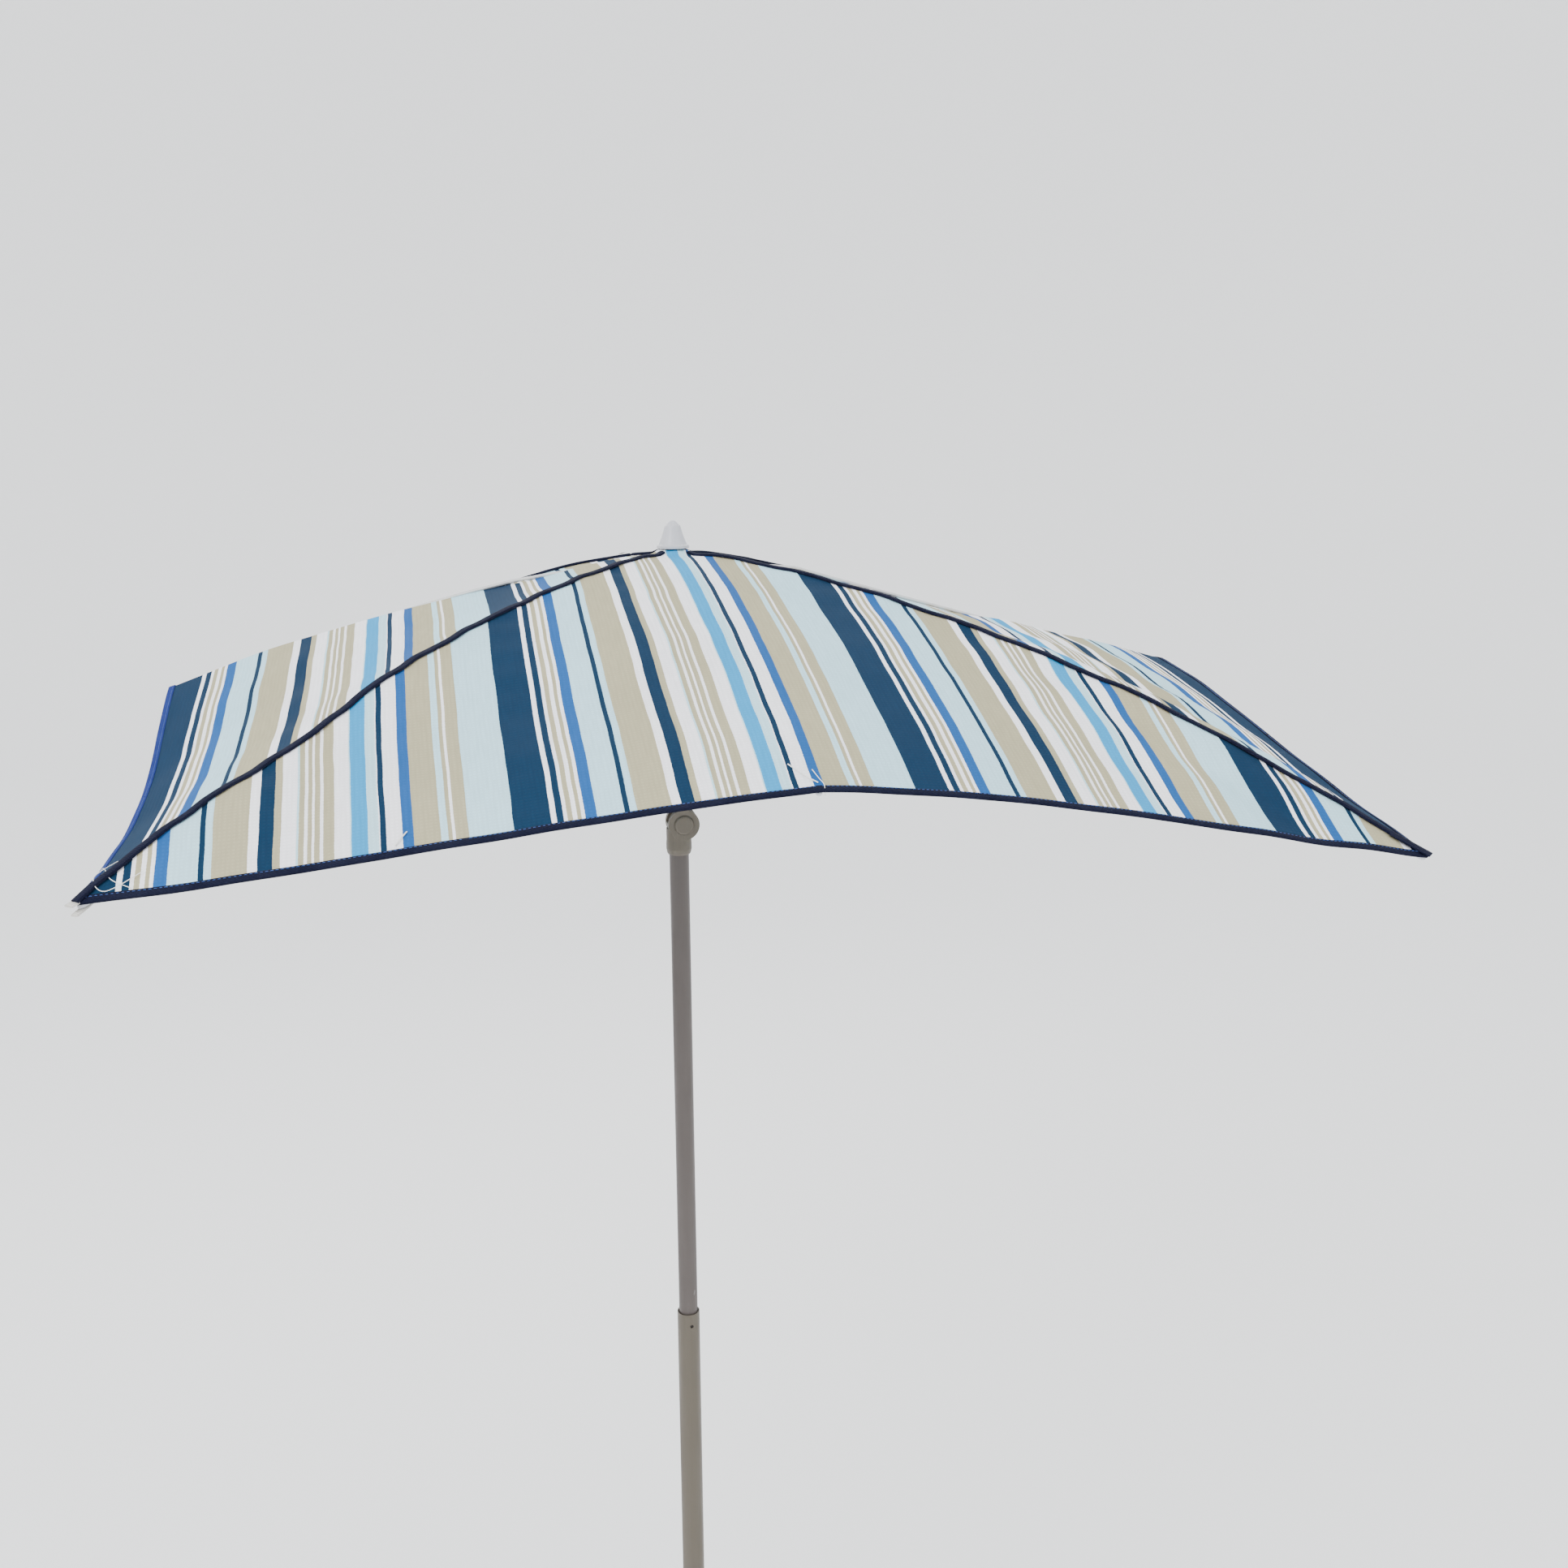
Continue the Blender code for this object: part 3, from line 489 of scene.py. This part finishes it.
# ---------------------------------------------------------------- bindings
def swept(name, path, normals, profile, mat):
    """Sweeps an (across, up) outline along a path whose up direction is given at each point."""
    verts, faces = [], []
    sides = len(profile)
    for i, (point, up) in enumerate(zip(path, normals)):
        ahead = path[min(i + 1, len(path) - 1)] - path[max(i - 1, 0)]
        ahead.normalize()
        side = ahead.cross(up).normalized()
        true_up = side.cross(ahead).normalized()
        verts += [point + side * a + true_up * b for a, b in profile]
    for i in range(len(path) - 1):
        for j in range(sides):
            k = (j + 1) % sides
            faces.append((i * sides + j, i * sides + k, (i + 1) * sides + k, (i + 1) * sides + j))
    faces.append(tuple(range(sides - 1, -1, -1)))
    last = (len(path) - 1) * sides
    faces.append(tuple(last + j for j in range(sides)))
    mesh = bpy.data.meshes.new(name)
    mesh.from_pydata(verts, [], faces)
    bm = bmesh.new()
    bm.from_mesh(mesh)
    bmesh.ops.recalc_face_normals(bm, faces=bm.faces)
    bm.to_mesh(mesh)
    bm.free()
    mesh.shade_smooth()
    mesh.set_sharp_from_angle(angle=math.radians(50))
    mesh.materials.append(mat)
    return add_object(name, mesh)


def tape(half, thick, lift=0.0):
    """A flat tape's outline: slightly crowned, with soft edges."""
    return [(-half, lift), (-half * 0.92, lift + thick * 0.8), (-half * 0.4, lift + thick),
            (half * 0.4, lift + thick), (half * 0.92, lift + thick * 0.8), (half, lift),
            (half * 0.5, lift - 0.0004), (-half * 0.5, lift - 0.0004)]


def seam_bindings():
    """A tape along each corner rib, running a little unevenly."""
    for number, (name, _, _, _) in enumerate(RIBS):
        if name not in CORNERS:
            continue
        _, across = rib_axis(name)
        path, ups = [], []
        for out in (0.026 + 0.974 * i / 90 for i in range(91)):
            up = surface_normal(number, 0.0, out) + surface_normal((number - 1) % 8, 1.0, out)
            wobble = 0.0006 * math.sin(out * 140) + 0.0005 * math.sin(out * 61 + number)
            path.append(cloth_point(number, 0.0, out) + across * wobble)
            ups.append(up.normalized())
        obj = swept("seam_binding_" + name, path, ups, tape(0.0044, 0.0030), MAT["navy"])
        carry(obj, name)


def hem_bindings():
    """A folded tape over the cloth's edge, one length for each half gore, so that it rides with its cloth."""
    high, low = 0.0013, -0.0017
    outline = [(-0.0045, high - 0.0003), (-0.0040, high), (0.0020, high + 0.0003), (0.0034, high - 0.0002),
               (0.0037, -0.0002), (0.0034, low + 0.0002), (0.0020, low - 0.0002), (-0.0040, low),
               (-0.0045, low + 0.0003)]
    for number, (name, _, _, _) in enumerate(RIBS):
        for gore, start, end, label in HALF_GORES:
            index = (number + gore) % 8
            path, ups = [], []
            for i in range(49):
                across = start + (end - start) * i / 48
                point = cloth_point(index, across, 1.0)
                normal = surface_normal(index, across, 1.0)
                outward = (point - cloth_point(index, across, HEM_INNER)).normalized()
                flutter = 0.0002 * math.sin(point.x * 70 + point.y * 55)
                path.append(point - outward * 0.0024 + normal * (-0.0003 + flutter))
                ups.append(normal)
            away = Vector((path[0].x, path[0].y, 0))
            sign = 1 if (path[1] - path[0]).cross(ups[0]).dot(away) > 0 else -1
            mat = MAT["blue"] if panel_of(index) == "left" else MAT["navy"]
            obj = swept(f"hem_{name}_{label}", path, ups, [(a * sign, b) for a, b in outline], mat)
            carry(obj, name)


def outline_round(radius, sides=6):
    angles = [math.tau * k / sides for k in range(sides)]
    return [(radius * math.cos(angle), radius * math.sin(angle)) for angle in angles]


def hem_stitches():
    """A row of short stitches along each half hem, standing a little out of the tape."""
    pitch, length, half = 0.0042, 0.0028, 0.00028
    for number, (name, _, _, _) in enumerate(RIBS):
        for gore, start, end, label in HALF_GORES:
            index = (number + gore) % 8
            run = (cloth_point(index, start, 1.0) - cloth_point(index, end, 1.0)).length
            verts, faces = [], []
            count = int(run / pitch) - 1
            for k in range(1, count):
                across = start + (end - start) * k / count
                here = cloth_point(index, across, 1.0)
                inner = cloth_point(index, across, HEM_INNER)
                ahead = (cloth_point(index, across + (end - start) / count, 1.0) - here).normalized()
                inward = (inner - here).normalized()
                up = surface_normal(index, across, 1.0)
                base = here + inward * 0.0052 + up * 0.0013
                first = len(verts)
                for along, height in ((-0.5, -0.0003), (-0.25, 0.0003), (0.25, 0.0003), (0.5, -0.0003)):
                    for side in (-half, half):
                        verts.append(base + ahead * along * length + inward * side + up * height)
                faces += [(first + m, first + m + 1, first + m + 3, first + m + 2) for m in (0, 2, 4)]
                faces.append((first, first + 6, first + 7, first + 1))
                faces.append((first, first + 2, first + 4, first + 6))
                faces.append((first + 1, first + 7, first + 5, first + 3))
            mesh = bpy.data.meshes.new(f"hem_stitches_{name}_{label}")
            mesh.from_pydata(verts, [], faces)
            mesh.materials.append(MAT["stitch"])
            obj = add_object(mesh.name, mesh)
            carry(obj, name)


def lay_strip(name, rib, points, half, thick, key):
    """A short strip through points given as (gore offset, across, out, height over the cloth).

    It is a round thread where thick is None, and otherwise a flat tape."""
    number = [r[0] for r in RIBS].index(rib)
    anchors = []
    for gore, across, out, height in points:
        index = (number + gore) % 8
        anchors.append(cloth_point(index, across, min(out, 1.0))
                       + Vector((RIBS[number][1], RIBS[number][2], 0)) * max(0.0, out - 1.0)
                       + surface_normal(index, across, min(out, 1.0)) * height)
    path = []
    for i in range(len(anchors) - 1):
        a, b = anchors[i], anchors[i + 1]
        before = anchors[max(i - 1, 0)]
        after = anchors[min(i + 2, len(anchors) - 1)]
        for k in range(8):
            t = k / 8
            path.append(0.5 * (2 * a + (b - before) * t + (2 * before - 5 * a + 4 * b - after) * t * t
                               + (3 * a - before - 3 * b + after) * t ** 3))
    path.append(anchors[-1])
    outline = outline_round(half) if thick is None else tape(half, thick)
    obj = swept(name, path, [Vector((0.01, 0.02, 1)).normalized()] * len(path), outline, MAT[key])
    carry(obj, rib)


# name, rib, points as lay_strip takes them, half width, thickness and material
DETAILS = (
    ("seam_label", "back_left",
     [(0, 0.0, 0.070, 0.0012), (0, 0.02, 0.084, 0.0050), (0, 0.03, 0.096, 0.0042)], 0.0040, 0.0007, "tag"),
    ("corner_pocket_front_left_a", "front_left",
     [(0, 0.0, 0.972, -0.004), (0, 0.0, 0.990, -0.003), (0, 0.0, 1.008, -0.003)], 0.0052, 0.0016, "pocket"),
    ("corner_pocket_front_left_b", "front_left",
     [(-1, 0.97, 0.975, -0.008), (-1, 0.985, 0.995, -0.009), (-1, 1.0, 1.012, -0.012)],
     0.0034, 0.0016, "pocket"),
    ("corner_thread_front_left_a", "front_left",
     [(-1, 0.90, 0.985, 0.002), (-1, 0.95, 0.97, 0.004), (0, 0.02, 0.975, 0.003), (0, 0.06, 0.99, 0.002)],
     0.00035, None, "thread"),
    ("corner_thread_front_left_b", "front_left",
     [(-1, 0.95, 0.955, 0.002), (-1, 0.99, 0.975, 0.005), (0, 0.03, 0.992, 0.003), (0, 0.05, 0.965, 0.002)],
     0.00035, None, "thread"),
    ("hem_thread_front", "front",
     [(0, 0.0, 0.955, 0.0016), (0, 0.004, 0.975, 0.0018), (0, 0.006, 0.995, 0.0035), (0, 0.008, 1.0, -0.006)],
     0.0004, None, "thread"),
    ("mended_stitch_front", "front",
     [(-1, 0.968, 0.935, 0.0012), (-1, 0.985, 0.965, 0.0014), (0, 0.0, 0.985, 0.0014)],
     0.0006, None, "thread"),
    ("loose_thread_front", "front",
     [(-1, 0.405, 0.962, 0.0010), (-1, 0.403, 0.975, 0.0016), (-1, 0.401, 0.985, 0.0010)],
     0.0006, None, "thread"),
)


def loose_details():
    """Label, rib pockets at the worn corner, threads, a mended stitch and the other corners' patches."""
    for detail in DETAILS:
        lay_strip(*detail)
    for rib in ("front_right", "back_right", "back_left"):
        lay_strip("corner_patch_" + rib, rib,
                  [(0, 0.0, 0.958, 0.0006), (0, 0.0, 0.980, 0.0008), (0, 0.0, 1.002, 0.0002)],
                  0.0074, 0.0016, "navy")


build_canopy()
seam_bindings()
hem_bindings()
hem_stitches()
loose_details()


# ---------------------------------------------------------------- carried-over CAD nodes
RIB_NAMES = [rib[0] for rib in RIBS]
repaint(["upper_pole", "middle_pole"], "tube")
repaint(["lower_pole"], "lower")
repaint(["knuckle_lower", "knuckle_upper", "tilt_button", "pole_foot_plug"], "taupe")
repaint(["hub", "runner"] + ["rib_tip_" + n for n in RIB_NAMES], "white")
repaint(["rib_" + n for n in RIB_NAMES] + ["stretcher_" + n for n in RIB_NAMES], "rib")
repaint(["snap_button"], "dark_steel")
repaint(["hub_ring", "runner_ring", "snap_spring", "tilt_pin", "tilt_spring", "runner_catch",
         "catch_spring"] + ["stretcher_pin_" + n for n in RIB_NAMES], "zinc")
repaint(["finial"], "cap")


# ---------------------------------------------------------------- stage, light and camera
def add_floor():
    """A round studio floor whose far rim sweeps up, so that no horizon shows."""
    flat, turn_r, top, sides = 9.0, 4.0, 9.0, 96
    profile = [(0.02, 0.0), (3.0, 0.0), (6.0, 0.0), (flat, 0.0)]
    profile += [(flat + turn_r * math.sin(a), turn_r * (1 - math.cos(a)))
                for a in (math.pi / 2 * i / 12 for i in range(1, 13))]
    profile.append((flat + turn_r, top))
    verts = [(r * math.cos(math.tau * k / sides), r * math.sin(math.tau * k / sides), z)
             for r, z in profile for k in range(sides)]
    faces = [tuple(range(sides))]
    faces += [(i * sides + k, (i + 1) * sides + k, (i + 1) * sides + (k + 1) % sides,
               i * sides + (k + 1) % sides)
              for i in range(len(profile) - 1) for k in range(sides)]
    mesh = bpy.data.meshes.new("floor")
    mesh.from_pydata(verts, [], faces)
    mesh.shade_smooth()
    floor = add_object("floor", mesh)
    mesh.materials.append(floor_material())


def area_light(name, where, target, size, power, color=(1, 1, 1)):
    light = bpy.data.lights.new(name, "AREA")
    light.shape = "RECTANGLE"
    light.size, light.size_y = size
    light.energy = power
    light.color = color
    obj = add_object(name, light)
    obj.location = where
    obj.rotation_euler = (Vector(target) - Vector(where)).to_track_quat("-Z", "Y").to_euler()


def add_lights():
    world = bpy.data.worlds.new("studio")
    bpy.context.scene.world = world
    world.use_nodes = True
    background = world.node_tree.nodes["Background"]
    background.inputs["Color"].default_value = (0.95, 0.97, 1.0, 1)
    background.inputs["Strength"].default_value = 2.1
    centre = (0, 0, 1.7)
    area_light("key", (-2.6, -2.6, 4.2), centre, (2.4, 2.4), 150)
    area_light("fill", (3.0, -2.4, 2.6), centre, (2.5, 2.0), 34, (1.0, 0.98, 0.95))
    area_light("back", (0.0, 3.2, 3.4), centre, (3.0, 1.6), 45)


def add_camera():
    """Stands a little above the canopy's top and to its left, and looks down at it."""
    data = bpy.data.cameras.new("camera")
    data.sensor_width = 36.0
    data.lens = CAMERA_LENS
    data.clip_start = 0.05
    camera = add_object("camera", data)
    yaw, pitch, roll = (math.radians(angle) for angle in CAMERA_TURN)
    turn = Matrix.Rotation(yaw, 4, "Z") @ Matrix.Rotation(pitch, 4, "X") @ Matrix.Rotation(roll, 4, "Z")
    x, y, above = CAMERA_PLACE
    camera.matrix_world = Matrix.Translation((x, y, APEX_Z + above)) @ turn
    bpy.context.scene.camera = camera


add_floor()
add_lights()
add_camera()
